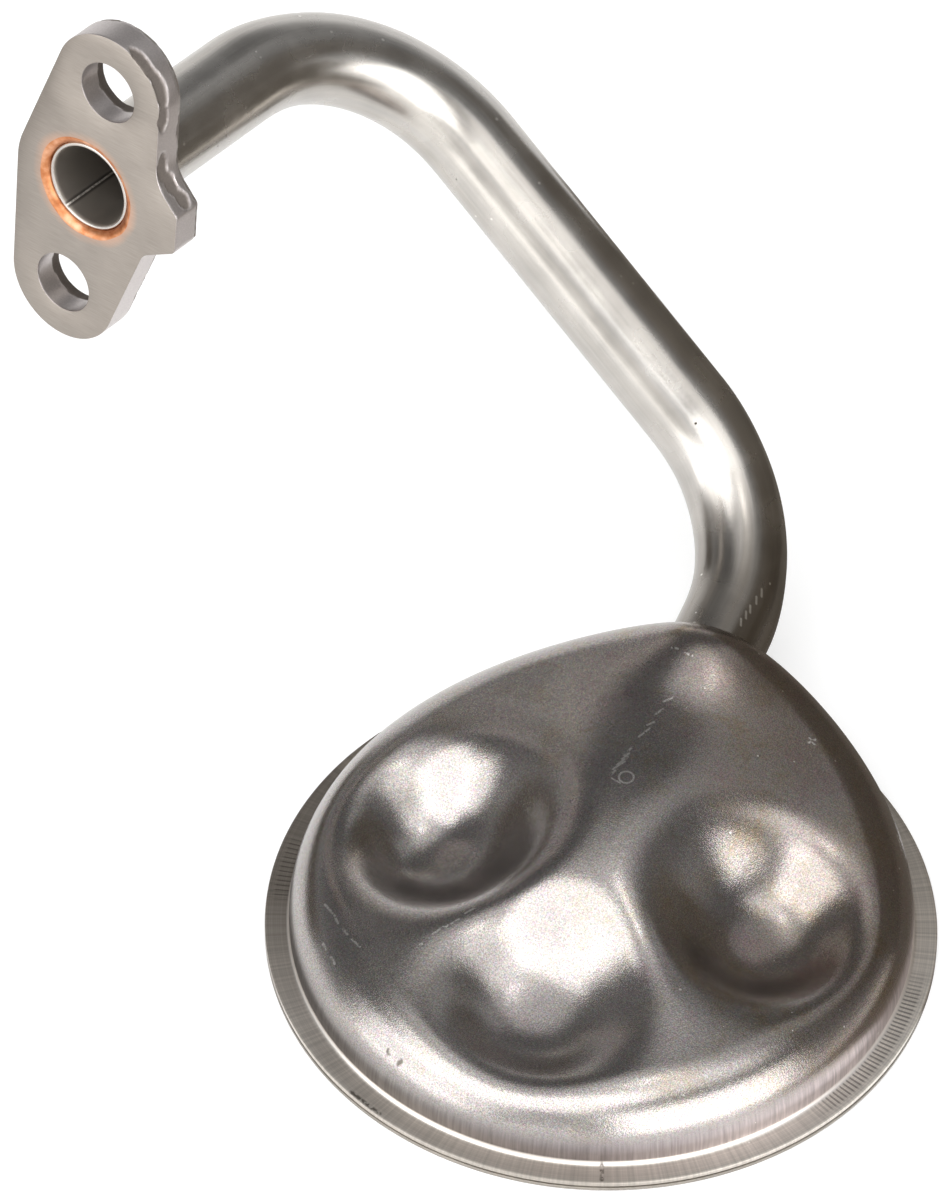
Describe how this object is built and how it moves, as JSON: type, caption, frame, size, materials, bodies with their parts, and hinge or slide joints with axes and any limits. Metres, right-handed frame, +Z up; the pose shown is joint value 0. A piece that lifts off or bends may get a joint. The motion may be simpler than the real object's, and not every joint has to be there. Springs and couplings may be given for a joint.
{
  "type": "engine oil pickup tube with strainer",
  "caption": "Bent steel oil pickup tube with a stamped mounting flange at one end and a dimpled, hooded round strainer housing over a wire screen at the other.",
  "frame": {"origin": "centre of the strainer's round underside, on the lower face of the screen retainer's hub", "axes": "+Z up out of the strainer's lid; the mounting flange faces -Y, tipped 8 degrees up, on the -X side; the hood and the tube's end in it lie toward +Y, turned 13 to 15 degrees toward -X"},
  "size_m": [0.184, 0.1446, 0.1224],
  "materials": {
    "ground_flange_steel": "ground face, sheared edges",
    "braze_copper": "furnace-brazed copper, satin",
    "drawn_tube_steel": "drawn, satin, tinted by heat",
    "drawn_housing_steel": "deep-drawn, grainy satin",
    "braze_copper_fillet": "furnace-brazed copper, satin",
    "retainer_sheet_steel": "stamped sheet, satin",
    "screen_wire_steel": "woven wire"
  },
  "bodies": {
    "root": {"mounting_flange": "ground_flange_steel", "flange_braze_ring": "braze_copper", "pickup_tube": "drawn_tube_steel", "strainer_housing": "drawn_housing_steel", "housing_braze_ring": "braze_copper_fillet", "screen_retainer": "retainer_sheet_steel", "wire_screen": "screen_wire_steel"}
  },
  "joints": []
}
